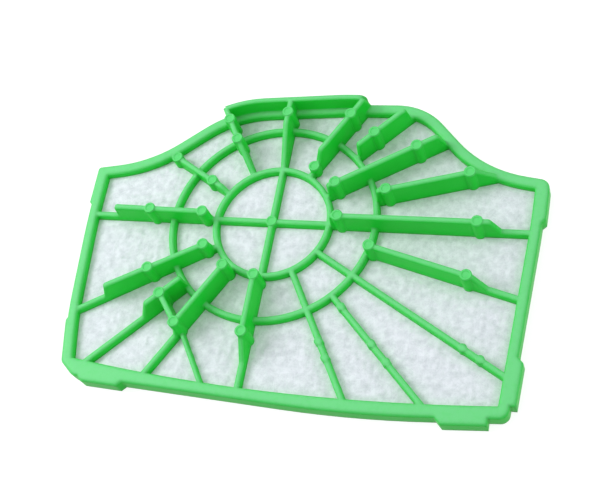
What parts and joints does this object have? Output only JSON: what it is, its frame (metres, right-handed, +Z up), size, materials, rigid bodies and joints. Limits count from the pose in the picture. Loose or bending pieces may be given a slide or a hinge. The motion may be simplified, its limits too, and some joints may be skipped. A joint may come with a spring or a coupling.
{
  "type": "vacuum exhaust filter",
  "caption": "Flat exhaust filter: a moulded frame of rings, radial ribs and tall fins over a sheet of white filter fleece, arched on one side.",
  "frame": {"origin": "middle of the footprint, at the underside of the border", "axes": "+X along the long straight base, to the right; +Y towards the arch; +Z up from the fleece towards the fins"},
  "size_m": [0.1436, 0.0998, 0.0106],
  "materials": {
    "frame_plastic": "moulded green, half gloss",
    "filter_fleece": "white non-woven fleece"
  },
  "bodies": {
    "root": {"frame": "frame_plastic", "filter_fleece": "filter_fleece"}
  },
  "joints": []
}
